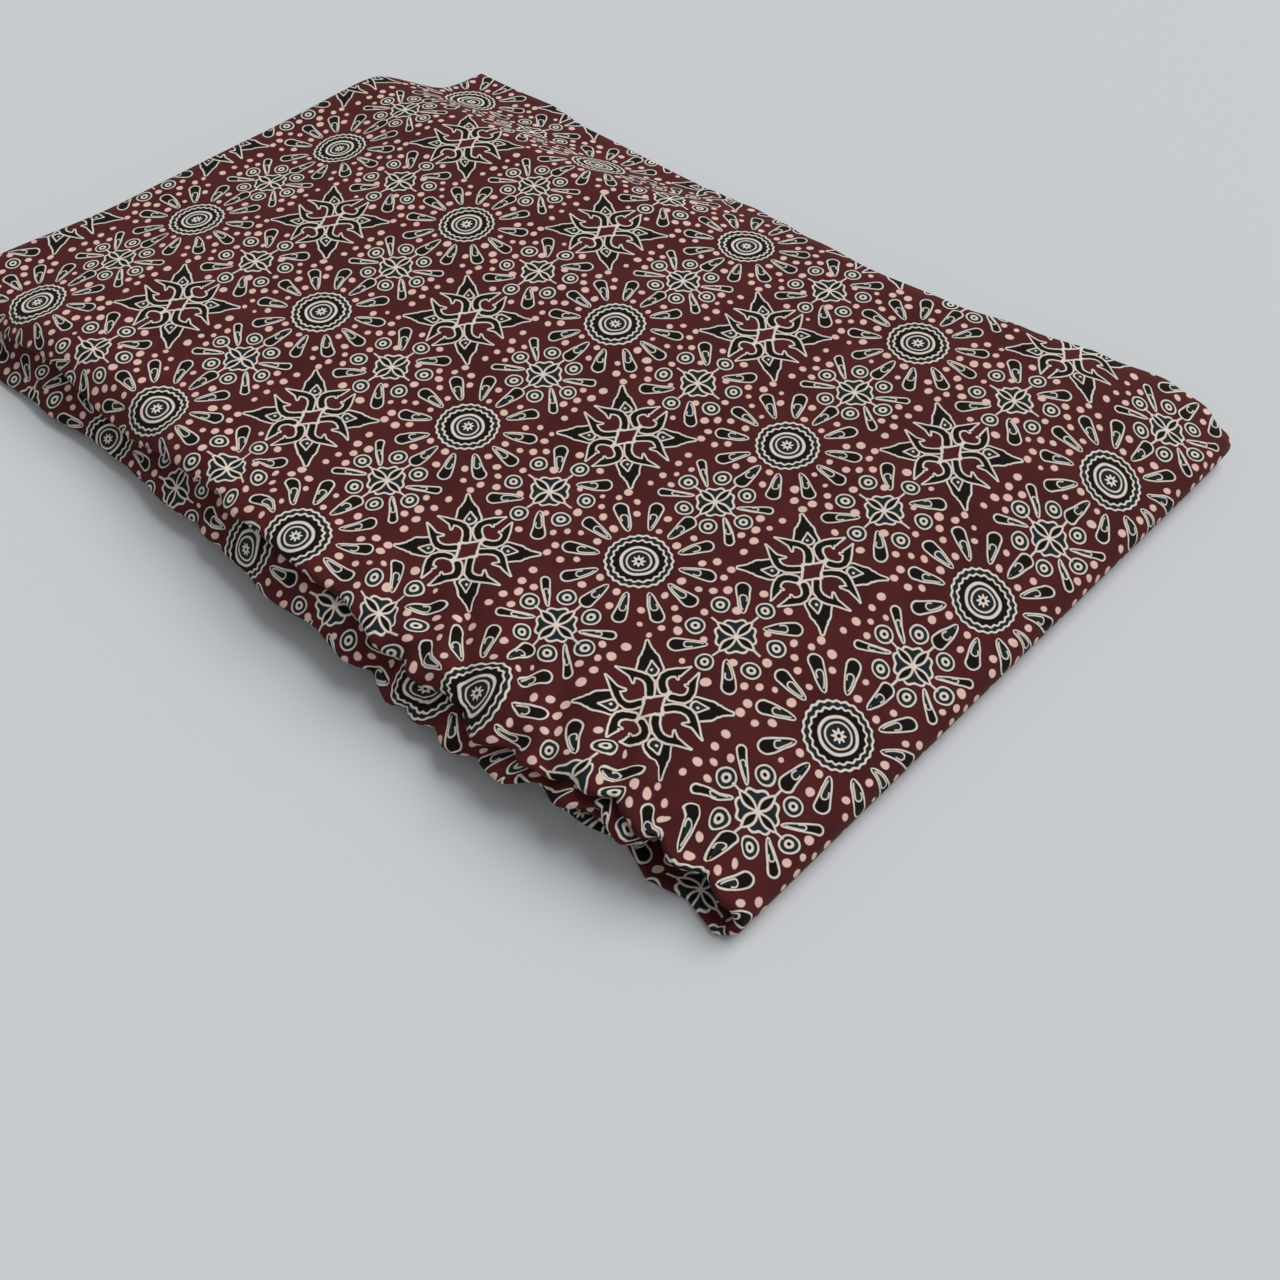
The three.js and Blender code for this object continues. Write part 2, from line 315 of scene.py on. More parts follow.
def place(station):
    """Points of one row in the pack and their distance across the flat cloth."""
    level, x, way, joins, part = station
    reach, along, side, ahead, turn = section(station)
    angle = 0.0 if part > 0 else front_angle(level, x)
    radius = SHOULDER_RADIUS + (2 * PITCH if level == TOP else 0)
    flat = np.minimum(along, front_at("start", x))
    bent = along - flat
    slope = np.minimum(bent / radius, angle)
    straight = bent - radius * slope
    out = flat + radius * np.sin(slope) + straight * np.cos(slope)
    drop = radius * (1 - np.cos(slope)) + straight * np.sin(slope)
    middle, half = run_layer(level, x, -out)
    upward, forward = way * side * half, ahead * half
    y = -(out + upward * np.sin(slope) + forward * np.cos(slope))
    z = middle - drop + upward * np.cos(slope) - forward * np.sin(slope)
    rows = np.full_like(y, x)
    if part > 0:
        next_middle, next_half = run_layer(joins, x, -out)
        landing = next_middle - way * side * next_half
        rows = x + way * np.abs(landing - z) / 2 * math.sin(math.pi * part)
        z = mix(z, landing, (1 - math.cos(math.pi * part)) / 2)
    across = np.where(turn < np.pi, along, 2 * reach - along) + half * turn + upward * slope
    return np.stack([rows, y, z], 1), across


placed = [place(station) for station in strip]
surface = np.stack([points for points, _ in placed])
across = np.stack([distance for _, distance in placed])
print("grid of the sheet:", surface.shape[:2])

# %% [markdown]
# ## Print coordinates
# The blocks were stamped on the flat cloth in repeats of 90 by 76 mm. Distance along the strip and across
# it gives each point its place in the print. The turns use up cloth too, so their arcs are added.
# %% Where each point lies on the flat cloth
REPEAT = (90.0, 76.0)
PRINT_START = (36.0, 7.3)  # X and Y of a medallion's middle near the open end of the top run
SECOND_FOLD = (-11.0, 31.0)  # shift of the print on the fold under the top one

REFERENCE = LONG_STEPS // 2  # the column along which the turns are measured
travel = [0.0]
for before, after, a, b in zip(strip, strip[1:], surface, surface[1:]):
    step = abs(after.x - before.x)
    if after.part > 0:
        step = np.linalg.norm(b[REFERENCE] - a[REFERENCE])
    travel.append(travel[-1] + step)
travel = np.array(travel)
levels = np.array([station.level for station in strip])
drift = np.array([station.x for station in strip])
# The shift of the second fold comes in little by little along run 1, which is hidden.
hidden_run = travel[np.flatnonzero(levels == 1)[[0, -1]]]
ramp = smooth(*hidden_run, travel)
print_u = np.repeat((travel - PRINT_START[0] + SECOND_FOLD[0] * ramp)[:, None], surface.shape[1], 1)
print_v = -across + (SKEW * drift - PRINT_START[1] + SECOND_FOLD[1] * ramp)[:, None]
print("flat length:", round(travel[-1]), "repeats along it:", round(travel[-1] / REPEAT[0], 1))

# %% [markdown]
# ## Creases and swells
# The even folds are now made as uneven as the real ones. They could be sculpted with a brush, but rows of
# a table can be read and changed, so every swell, crease and pucker is a soft rise or trough listed one
# by one.
# %% Swells, creases and puckers
# Swells: X and Y of the middle, rise (a hollow if below 0), and how far they spread along X and Y.
Swell = namedtuple("Swell", "x y rise along across")
SWELLS = [
    Swell(205, -8, 2.6, 52, 20),
    Swell(140, -2, 0.8, 30, 20),
    Swell(62, 110, -1.2, 34, 52),
    Swell(30, 60, 0.9, 22, 30),
    Swell(32, 152, -2.4, 30, 26),
    Swell(150, 150, 1.2, 44, 40),
    Swell(216, 142, 1.9, 46, 34),
    Swell(214, 222, -3.4, 34, 24),
    Swell(290, 90, -0.7, 46, 60),
    Swell(345, 170, 0.9, 30, 60),
    Swell(396, 192, 2.4, 18, 40),
]
# Creases at the front: X at the shoulder, lean in X per mm of Y, depth (raised if below 0), width, and
# how far behind the shoulder they die out.
Crease = namedtuple("Crease", "x lean depth width inner")
CREASES = [
    Crease(34, -0.5, 0.9, 7, 24),
    Crease(88, -0.4, -0.8, 9, 20),
    Crease(128, -0.7, 1.2, 7, 22),
    Crease(168, -0.9, 1.9, 5, 16),
    Crease(184, -0.6, 1.4, 4.5, 12),
    Crease(228, -0.8, 1.2, 7, 30),
    Crease(252, -0.9, 2.0, 5, 16),
    Crease(267, -0.9, 1.8, 4, 12),
    Crease(283, -1.0, 2.8, 4.5, 26),
    Crease(300, -0.9, -1.4, 6, 20),
    Crease(311, -0.7, 2.0, 4, 14),
    Crease(325, -0.8, 2.2, 4.5, 24),
    Crease(340, -0.6, -1.2, 5, 18),
    Crease(352, -0.7, 2.0, 4, 18),
    Crease(366, -0.5, 1.6, 3.5, 12),
    Crease(376, -0.5, -1.0, 5, 16),
    Crease(387, -0.5, 2.0, 4, 18),
    Crease(403, -0.3, 1.6, 4, 26),
]
# Puckers of the front folds: X, how far in they draw the fold (out if below 0), width, and lean in X per
# mm of height.
Pucker = namedtuple("Pucker", "x draw width lean")
PUCKERS = [
    Pucker(171, 2.2, 4, 0.6), Pucker(186, 1.8, 4, 0.8), Pucker(215, -1.2, 9, 0.0),
    Pucker(240, 1.4, 6, 0.4), Pucker(258, -1.6, 5, 0.9), Pucker(270, 2.6, 4, 0.9),
    Pucker(281, -1.6, 4, 0.4), Pucker(290, 2.4, 3.5, 1.2), Pucker(301, 3.4, 4, 0.7),
    Pucker(312, -2.0, 4, 1.0), Pucker(320, 2.6, 3.5, 1.2), Pucker(331, -2.2, 4, 0.4),
    Pucker(340, 3.0, 3.5, 1.0), Pucker(350, -1.8, 4, 0.8), Pucker(359, 3.2, 3.5, 0.5),
    Pucker(369, -2.2, 4, 1.2), Pucker(378, 2.8, 3.5, 0.6), Pucker(389, -1.8, 4, 0.4),
    Pucker(398, 2.6, 4, 0.2), Pucker(408, -1.4, 4, 0.0),
]
# Ripples all along the front folds: mm of X to one radian, lean per mm of height, start, and depth.
Ripple = namedtuple("Ripple", "length lean phase depth")
RIPPLES = [Ripple(6.1, 0.34, 0.0, 0.5), Ripple(10.7, -0.22, 1.3, 0.35)]
FRONT_SIDE = (10, -12)  # Y where puckers and ripples start and where they are at their full depth
FULL_DEPTH = 0.2  # share of a crease's length behind the shoulder that is at its full depth
print("swells", len(SWELLS), "creases", len(CREASES), "puckers", len(PUCKERS))

# %% [markdown]
# ## Bending the pile
# Swells and creases bend the whole pile together, the top most and the floor not at all, so no ply is
# pushed through another. Then the pack is slanted as it lies, and its open end gets a stepped corner.
# %% Uneven shape
OPEN_END = {"step_in": 17, "step_from": 207, "step_to": 236, "stand_out": 7, "stand_to": 70, "reach": 120}


def uneven(points):
    """Raise swells, press in creases, and draw the front folds in and out."""
    x, y, z = (points[..., i] for i in range(3))
    share = z / top_middle
    lift = np.zeros_like(x)
    for row in SWELLS:
        lift += row.rise * np.exp(-(((x - row.x) / row.along) ** 2) - ((y - row.y) / row.across) ** 2)
    for row in CREASES:
        off = (x - row.x - row.lean * y) / row.width
        lift -= row.depth * np.exp(-(off**2)) * (1 - smooth(row.inner * FULL_DEPTH, row.inner, y))
    drawn = np.zeros_like(x)
    for row in RIPPLES:
        drawn -= row.depth * np.sin(x / row.length + row.lean * z + row.phase)
    for row in PUCKERS:
        off = (x - row.x - row.lean * (z - top_middle / 2)) / row.width
        drawn += row.draw * np.exp(-(off**2))
    return np.stack([x, y + drawn * smooth(*FRONT_SIDE, y), z + lift * share], -1)


def settle(points):
    """Slant the pack, and give the open end its stepped back corner and its front that stands out."""
    x, y, z = (points[..., i] for i in range(3))
    near_open = 1 - smooth(0, OPEN_END["reach"], x)
    step_in = OPEN_END["step_in"] * smooth(OPEN_END["step_from"], OPEN_END["step_to"], y)
    stand_out = OPEN_END["stand_out"] * (1 - smooth(0, OPEN_END["stand_to"], y))
    return np.stack([x + (step_in - stand_out) * near_open, y + SKEW * x, z], -1)


settled = settle(surface)
on_top = (levels == TOP)[:, None]
print_u = np.where(on_top, print_u + settled[..., 0] - surface[..., 0], print_u)
plain_low, plain_high = settled.reshape(-1, 3).min(0), settled.reshape(-1, 3).max(0)
print("plain fold's middle:", np.round((plain_low + plain_high) / 2, 2))
surface = settle(uneven(surface)) - np.array([*MIDDLE, 0])

# %% [markdown]
# ## The sheet as a mesh
# Both faces of the cloth lie half a thickness from the middle surface, and thin strips close its four
# edges. The print's map is kept for every corner of a face, and a mark on every point tells the printed
# face from the reverse.
# %% Mesh of the cloth


def outward(grid):
    """Directions square to a grid of points."""
    along = np.gradient(grid, axis=0)
    over = np.gradient(grid, axis=1)
    normal = np.cross(along, over)
    return normal / np.linalg.norm(normal, axis=-1, keepdims=True)


rows, columns = surface.shape[:2]
normal = outward(surface)
faces = np.stack([surface - normal * SHEET / 2, surface + normal * SHEET / 2]).reshape(-1, 3)
faces[:, 2] = np.maximum(faces[:, 2], 0.0)
count = rows * columns
index = np.arange(count).reshape(rows, columns)
a, b, c, d = index[:-1, :-1], index[:-1, 1:], index[1:, 1:], index[1:, :-1]
printed = np.stack([a, b, c, d], -1).reshape(-1, 4)
reverse = np.stack([a, d, c, b], -1).reshape(-1, 4) + count


def edge_strip(line):
    near, far = line[:-1], line[1:]
    return np.stack([near, far, far + count, near + count], -1)


rims = [index[:, 0], index[::-1, -1], index[0, ::-1], index[-1]]
edges = [edge_strip(rim) for rim in rims]
quads = np.concatenate([printed, reverse, *edges])
mesh = bpy.data.meshes.new("cloth sheet")
mesh.from_pydata((faces * MM).tolist(), [], quads.tolist())
mesh.polygons.foreach_set("use_smooth", np.ones(len(quads), bool))
cloth = bpy.data.objects.new("printed_cloth", mesh)
bpy.context.scene.collection.objects.link(cloth)

corner = quads.ravel()
flat_place = np.stack([print_u.ravel(), print_v.ravel()], 1) / REPEAT[0]
print_map = mesh.uv_layers.new(name="Print")
print_map.uv.foreach_set("vector", flat_place[corner % count].astype(np.float32).ravel())
print_map.active_render = True
mark = mesh.attributes.new("reverse", "FLOAT", "POINT")
mark.data.foreach_set("value", (np.arange(2 * count) >= count).astype(np.float32))
print("triangles:", 2 * len(quads), "size in mm:", np.round(np.ptp(faces, axis=0), 1))

# %% [markdown]
# ## A map for baked colours
# When colours are baked into one square picture, most of it should go to what is seen. The faces are laid
# out as sheets in a square: the top of the pack takes most of it, then the front of the fold under it,
# then what is hidden between the plies, the reverse and the thin edges.
# %% Bake map
NOSE_END = LONG_STEPS + FRONT_STEPS + NOSE_STEPS
at_row, at_column = np.divmod(quads % count, columns)
low_row, low_column = at_row.min(1), at_column.min(1)
part_of = np.repeat(np.arange(6), [len(printed), len(reverse), *(len(edge) for edge in edges)])
on_face = part_of == 0
top = on_face & (levels[low_row] == TOP) & (low_column < NOSE_END)
near_nose = (low_column >= LONG_STEPS) & (low_column < NOSE_END + FRONT_STEPS)
lip = on_face & (levels[low_row] == UNDER) & near_nose
hidden = on_face & ~top & ~lip
# What is laid out, and from where to where up the picture. Edges 2 and 3 run along the strip, 4 and 5
# across it.
SHEETS = [(top, 0.345, 1.0), (lip, 0.2, 0.34), (hidden, 0.095, 0.195), (part_of == 1, 0.012, 0.09)]
EDGE_STRIPS = [(2, 0.0, 0.0025), (3, 0.003, 0.0055), (4, 0.006, 0.0085), (5, 0.009, 0.0115)]


def lay_out(chosen, along, over, low, high):
    along, over = ((values - values.min()) / np.ptp(values) for values in (along[chosen], over[chosen]))
    bake_place[chosen] = np.stack([along, mix(low, high, over)], -1)


bake_place = np.zeros((len(quads), 4, 2))
for chosen, low, high in SHEETS:
    lay_out(chosen, travel[at_row], across[at_row, at_column], low, high)
for number, low, high in EDGE_STRIPS:
    along = travel[at_row] if number < 4 else across[at_row, at_column]
    lay_out(part_of == number, along, (quads >= count).astype(float), low, high)
bake_map = mesh.uv_layers.new(name="OFBake")
bake_map.uv.foreach_set("vector", bake_place.astype(np.float32).ravel())
mesh.validate()
print("faces on the top sheet:", int(top.sum()), "of", len(mesh.polygons))

# %% [markdown]
# ## Building the print from sums
# A printed repeat could be a picture, but a picture is fixed in size and this one would have to be copied
# from the cloth. Here the blocks are charted as simple shapes: circles, drops, leaves and rings, each a
# distance worked out by Math nodes. The small class below lets such sums be written as sums.
# %% A field is a number over the cloth


class Field:
    """A number over the cloth; sums of fields add Math nodes to their tree."""

    def __init__(self, tree, socket):
        self.tree, self.socket = tree, socket

    def __add__(self, other):
        return calc("ADD", self, other)

    def __sub__(self, other):
        return calc("SUBTRACT", self, other)

    def __rsub__(self, other):
        return calc("SUBTRACT", other, self)

    def __mul__(self, other):
        return calc("MULTIPLY", self, other)

    __radd__ = __add__
    __rmul__ = __mul__


def wire(tree, sockets, values):
    """Link each socket to a field, or set it to a plain value."""
    for socket, value in zip(sockets, values):
        if isinstance(value, Field):
            tree.links.new(value.socket, socket)
        else:
            socket.default_value = value


def calc(operation, *values, clamp=False):
    tree = next(value.tree for value in values if isinstance(value, Field))
    node = tree.nodes.new("ShaderNodeMath")
    node.operation = operation
    node.use_clamp = clamp
    wire(tree, node.inputs, values)
    return Field(tree, node.outputs[0])


def vector_calc(operation, first, second=None, output="Vector", scale=None):
    tree = next(value.tree for value in (first, second, scale) if isinstance(value, Field))
    node = tree.nodes.new("ShaderNodeVectorMath")
    node.operation = operation
    wire(tree, node.inputs, [first] if second is None else [first, second])
    if scale is not None:
        wire(tree, [node.inputs["Scale"]], [scale])
    return Field(tree, node.outputs[output])


def together(x, y):
    node = x.tree.nodes.new("ShaderNodeCombineXYZ")
    wire(x.tree, node.inputs, [x, y])
    return Field(x.tree, node.outputs[0])


def least(*fields):
    found = fields[0]
    for field in fields[1:]:
        found = calc("MINIMUM", found, field)
    return found


def most(*fields):
    found = fields[0]
    for field in fields[1:]:
        found = calc("MAXIMUM", found, field)
    return found


helpers = (calc, vector_calc, together, least, most)
print("helpers for fields:", [helper.__name__ for helper in helpers])

# %% [markdown]
# ## Edges and lines
# Dye creeps a little way along the threads, so no printed edge is quite sharp. A shape is kept as a
# distance from its edge, below 0 inside it. That makes a soft edge, an outline or a ring a single sum.
# %% Soft edges
SOFT = 0.0035  # how far the dye bleeds at an edge, in repeats
LINE = 0.0037  # half the width of a resist line
FINE = 0.0033  # the same for the finer ones


def inside(distance):
    return calc("MULTIPLY_ADD", distance, -1 / SOFT, 0.5, clamp=True)


def outside(distance):
    return calc("MULTIPLY_ADD", distance, 1 / SOFT, 0.5, clamp=True)


def line(distance, half=LINE):
    return calc("MULTIPLY_ADD", calc("ABSOLUTE", distance), -1 / SOFT, half / SOFT + 0.5, clamp=True)


def away(point, centre):
    return vector_calc("DISTANCE", point, (*centre, 0), "Value")


def side_of(point, start, end):
    """Distance from the line through two places, above 0 on the right of the way from start to end."""
    run = Vector(end) - Vector(start)
    square = Vector((run.y, -run.x)).normalized()
    return vector_calc("DOT_PRODUCT", point, (*square, 0), "Value") - square.dot(Vector(start))


print("dye edges bleed over", round(SOFT * REPEAT[0], 2), "mm")

# %% [markdown]
# ## Blocks
# A printer cuts every motif into a wooden block of its own. Here a block is a shader node group that
# takes a place and gives the strength of three inks there, so a motif is built once and called wherever
# it is stamped. Where two blocks meet, the stronger ink is kept.
# %% Node groups as blocks
BLOCK = {"Across": "Float", "Up": "Float"}  # a place on a block, from its middle
INKS = {"Dark": "Float", "Blue": "Float", "Cream": "Float"}


def new_group(name, inputs, outputs):
    tree = bpy.data.node_groups.new(name, "ShaderNodeTree")
    for title, kind in inputs.items():
        tree.interface.new_socket(title, in_out="INPUT", socket_type="NodeSocket" + kind)
    for title, kind in outputs.items():
        tree.interface.new_socket(title, in_out="OUTPUT", socket_type="NodeSocket" + kind)
    source = tree.nodes.new("NodeGroupInput")
    sink = tree.nodes.new("NodeGroupOutput")
    return tree, {title: Field(tree, source.outputs[title]) for title in inputs}, sink.inputs


def call_group(tree, group, **values):
    node = tree.nodes.new("ShaderNodeGroup")
    node.node_tree = group
    for title, value in values.items():
        wire(tree, [node.inputs[title]], [value])
    return {socket.name: Field(tree, socket) for socket in node.outputs}


def strongest(*inks):
    return {name: most(*(ink[name] for ink in inks)) for name in INKS}


def give(sink, inks):
    for name in INKS:
        field = inks[name]
        field.tree.links.new(field.socket, sink[name])


print("inks of a block:", list(INKS))

# %% [markdown]
# ## Strokes and drops
# Most blocks are cut from strokes that swell and thin out. A stroke is a chain of places, each with its
# own half width. A drop is a short one with bulging sides; inside it a smaller one, open on one side,
# makes the hook.
# %% Stroke shapes and the ring of drops
DARK_EDGE, EDGE_DYE = 0.005, 0.5  # width of the faint dark edge past an outline, and its strength
TIP, BULGE = 0.003, 0.45  # half width of a drop at its tip, and how its sides bulge (1 is straight)
HOOK_FROM, HOOK_TO = 0.16, 0.62  # where a drop's hook starts and ends along the drop
HOOK_TIP, HOOK_HALF = 0.002, 0.45  # its half width at the tip, and at the end as a share of the drop's
HOOK_BULGE = 0.6
HOOK_LINE, HOOK_CLOSED = 0.0026, 0.7  # half width of its line, and where along it both sides are drawn
HOOK_BLUE = 0.004  # how far inside its line the blue starts
Drop = namedtuple("Drop", "tip end half")
RING_DROP = Drop((0.158, 0), (0.272, 0), 0.0305)
RING_COUNT = 12


def taper(point, start, end, bulge=1.0):
    """Distance from a stroke between two rows of x, y and half width, and how far along it a point lies."""
    tip, run = Vector(start[:2]), Vector(end[:2]) - Vector(start[:2])
    gap = vector_calc("SUBTRACT", point, (*tip, 0))
    part = vector_calc("DOT_PRODUCT", gap, (*(run / run.length_squared), 0), "Value")
    part = calc("ADD", part, 0.0, clamp=True)
    near = vector_calc("SCALE", (*run, 0), scale=part)
    swell = part if bulge == 1.0 else calc("POWER", part, bulge)
    radius = calc("MULTIPLY_ADD", swell, end[2] - start[2], start[2])
    return vector_calc("DISTANCE", gap, near, "Value") - radius, part


def stroke(point, rows):
    return least(*(taper(point, start, end)[0] for start, end in zip(rows, rows[1:])))


def bordered(shape, border=LINE):
    """Dark inside a shape, with a faint dark edge outside its cream outline."""
    edge = calc("MULTIPLY_ADD", shape, -1 / SOFT, (border + DARK_EDGE) / SOFT + 0.5, clamp=True)
    return most(inside(shape), edge * EDGE_DYE)


def drop_inks(point, drop):
    """Inks of one drop and of the hook inside it."""
    tip, end = Vector(drop.tip), Vector(drop.end)
    hook_tip, hook_end = tip.lerp(end, HOOK_FROM), tip.lerp(end, HOOK_TO)
    shape, _ = taper(point, (*tip, TIP), (*end, drop.half), BULGE)
    hook, part = taper(point, (*hook_tip, HOOK_TIP), (*hook_end, drop.half * HOOK_HALF), HOOK_BULGE)
    kept = most(inside(side_of(point, tip, end)), calc("GREATER_THAN", part, HOOK_CLOSED))
    cream = most(line(shape + FINE, FINE), least(line(hook, HOOK_LINE), kept))
    return {"Dark": bordered(shape, 0), "Blue": inside(hook + HOOK_BLUE), "Cream": cream}


def polar(given):
    """Distance of a place from the block's middle, and its turn round it."""
    distance = vector_calc("LENGTH", together(given["Across"], given["Up"]), output="Value")
    return distance, calc("ARCTAN2", given["Up"], given["Across"])


drops, given, sink = new_group("ring of drops", BLOCK, INKS)
radius, turn = polar(given)
one_drop = 2 * math.pi / RING_COUNT
turn = (calc("FRACT", turn * (1 / one_drop) + 0.5) - 0.5) * one_drop
folded = together(radius * calc("COSINE", turn), radius * calc("SINE", turn))
give(sink, drop_inks(folded, RING_DROP))
print(drops.name, "nodes", len(drops.nodes))

# %% [markdown]
# ## Medallion
# Rings round a small flower: wavy, beaded and plain, in cream on black and dark blue.
# %% Medallion group
DISC, DISC_BORDER = 0.128, 0.004  # its radius, and how far past it the outline reaches
FLOWER = {"size": 0.0205, "depth": 0.006, "bumps": 8}
FLOWER_HOLE = 0.007
WAVY, WAVY_HALF = {"size": 0.1015, "depth": 0.0034, "bumps": 20}, 0.0042
BEADED, BEADED_HALF = {"size": 0.1265, "depth": 0.0026, "bumps": 24}, 0.0044
CREAM_RINGS = [(0.046, 0.0035), (0.067, 0.0058)]
BLUE_RINGS = [(0.034, 0.009), (0.057, 0.004), (0.114, 0.007)]


def scalloped(radius, turn, size, depth, bumps):
    """Distance from a round line that waves in and out."""
    return radius - calc("MULTIPLY_ADD", calc("COSINE", turn * bumps), depth, size)


def rings(distance, rows):
    """Rings round a middle, each a row of its radius and half its width."""
    return most(*(line(distance - size, half) for size, half in rows))


medallion, given, sink = new_group("medallion", BLOCK, INKS)
radius, turn = polar(given)
flower = least(inside(scalloped(radius, turn, **FLOWER)), outside(radius - FLOWER_HOLE))
wavy = line(scalloped(radius, turn, **WAVY), WAVY_HALF)
beads = line(scalloped(radius, turn, **BEADED), BEADED_HALF)
give(
    sink,
    {
        "Dark": bordered(radius - DISC, DISC_BORDER),
        "Blue": rings(radius, BLUE_RINGS),
        "Cream": most(flower, rings(radius, CREAM_RINGS), wavy, beads),
    },
)
print(medallion.name, "nodes", len(medallion.nodes))

# %% [markdown]
# ## Star
# In the middle between four medallions: four pointed leaves with an eye in each, and black legs that curl
# round keyholes of bare ground. Only a quarter is drawn, because the repeat is mirrored both ways.
# %% Star group
# Rows of a stroke: x, y and half width, in repeats from the middle of the star.
STROKES = {
    "upper leg": [
        (0.020, 0.210, 0.002), (0.036, 0.164, 0.018), (0.056, 0.136, 0.016), (0.061, 0.114, 0.016),
        (0.054, 0.096, 0.0165), (0.040, 0.082, 0.0165), (0.021, 0.0725, 0.0165),
    ],
    "upper hook": [(0.036, 0.152, 0.012), (0.019, 0.142, 0.004)],
    "side leg": [
        (0.212, 0.027, 0.002), (0.152, 0.045, 0.016), (0.124, 0.062, 0.015), (0.101, 0.068, 0.016),
        (0.078, 0.062, 0.0165), (0.057, 0.044, 0.016), (0.0415, 0.0255, 0.016),
    ],
    "side hook": [(0.142, 0.038, 0.012), (0.121, 0.021, 0.004)],
}
LEAF = [
    (0.211, 0.180, 0.007), (0.191, 0.163, 0.014), (0.170, 0.145, 0.025), (0.147, 0.125, 0.040),
    (0.118, 0.101, 0.050),
]
LEAF_EYE = [(0.137, 0.128, 0.002), (0.109, 0.105, 0.023)]
EYE_LINE = 0.0038  # half the width of the line round it
PUPIL, PUPIL_RADIUS = (0.112, 0.103), 0.0055
HEART = [(0.0, 0.082, 0.007), (0.006, 0.056, 0.0045), (0.029, 0.020, 0.0045), (0.046, 0.0, 0.007)]

star, given, sink = new_group("star", BLOCK, INKS)
point = together(given["Across"], given["Up"])
legs = least(*(stroke(point, rows) for rows in STROKES.values()))
leaf, eye, heart = stroke(point, LEAF), stroke(point, LEAF_EYE), stroke(point, HEART)
clear = outside(legs - LINE)
outlines = least(most(line(leaf), line(eye, EYE_LINE)), clear)
pupil = least(inside(away(point, PUPIL) - PUPIL_RADIUS), clear)
give(
    sink,
    {
        "Dark": bordered(least(leaf, legs)),
        "Blue": least(inside(eye), clear),
        "Cream": most(outlines, line(legs), inside(heart), pupil),
    },
)
print(star.name, "nodes", len(star.nodes))

# %% [markdown]
# ## Rosette
# Halfway between two medallions: four slim leaves and four blue fans inside a scalloped line, with short
# spokes.
# %% Rosette group
SLIM_LENGTH, SLIM_HALF, SLIM_END = 0.09, 0.0155, 0.083  # of a slim leaf, and the radius where it is cut off
SLIM_LINE, FAN_LINE = 0.0042, 0.0046  # half widths of the outlines
FANS = {"size": 0.071, "depth": -0.0055, "bumps": 8}
FAN_BLUE, FAN_GAP = 0.006, 0.005  # how far the blue keeps from the fans' outline and from the leaves
SPOKE_FROM, SPOKE_TO, SPOKE_HALF = 0.085, 0.122, 0.0038
ROSETTE_HEART = 0.012

rosette, given, sink = new_group("rosette", BLOCK, INKS)
radius, turn = polar(given)
both_ways = [(given["Across"], given["Up"]), (given["Up"], given["Across"])]


def slim_leaf(along, off):
    return off - calc("SINE", along * (math.pi / SLIM_LENGTH)) * SLIM_HALF


def spoke(along, off):
    return most(off - SPOKE_HALF, SPOKE_FROM - along, along - SPOKE_TO)


leaves = most(least(*(slim_leaf(*axes) for axes in both_ways)), radius - SLIM_END)
fans = scalloped(radius, turn, **FANS)
spokes = least(*(spoke(*axes) for axes in both_ways))
fan_lines = least(line(fans, FAN_LINE), outside(leaves))
give(
    sink,
    {
        "Dark": bordered(least(fans, leaves)),
        "Blue": least(inside(fans + FAN_BLUE), outside(leaves - FAN_GAP)),
        "Cream": most(line(leaves, SLIM_LINE), fan_lines, inside(spokes), inside(radius - ROSETTE_HEART)),
    },
)
print(rosette.name, "nodes", len(rosette.nodes))

# %% [markdown]
# ## The whole repeat
# The groups are called on folded coordinates: the distance from the nearest medallion row and column. A
# slow noise first shifts every place a little, as a block stamped by hand never lies quite true.
# %% Print group
RISE = REPEAT[1] / REPEAT[0] / 2  # half the height of a repeat
EYES = [(0.362, 0.068), (0.5, 0.163), (0.149, RISE), (0.065, 0.311)]
DOTS = [
    (0.184, 0.047), (0.255, 0.061), (0.296, 0.093), (0.047, 0.157), (0.07, 0.228), (0.177, 0.16),
    (0.215, 0.205), (0.282, 0.169), (0.335, 0.133), (0.274, 0.217), (0.439, 0.217), (0.426, 0.09),
    (0.345, 0.0), (0.251, 0.313), (0.186, 0.366), (0.245, 0.378), (0.211, RISE),
]
EYE_RADIUS = 0.0345
EYE_BLUE, EYE_CREAM = [(0.0235, 0.01)], [(0.034, FINE), (0.0125, 0.0048)]  # rows of rings
SIDE_DROP = Drop((0.451, 0.096), (0.37, 0.179), 0.0305)
UPPER_DROP = Drop((0.082, RISE - 0.034), (0.181, RISE - 0.109), 0.021)
DOT_RADIUS = 0.0148
DOT_VARIES = 1.3  # how much of the shift of the stamp shows in the size of a dot
STAMP_SHIFT = 0.014  # whole range of the shift of the stamp, in repeats


def apart(vector):
    """The three parts of a vector, each a field."""
    node = vector.tree.nodes.new("ShaderNodeSeparateXYZ")
    wire(vector.tree, node.inputs, [vector])
    return [Field(vector.tree, socket) for socket in node.outputs]


def cloth_noise(place, scale, detail, output):
    """Noise over the flat cloth: one number from its output Fac, three from Color."""
    node = place.tree.nodes.new("ShaderNodeTexNoise")
    node.noise_dimensions = "2D"
    sockets = [node.inputs[title] for title in ("Vector", "Scale", "Detail")]
    wire(place.tree, sockets, [place, scale, detail])
    return Field(place.tree, node.outputs[output])


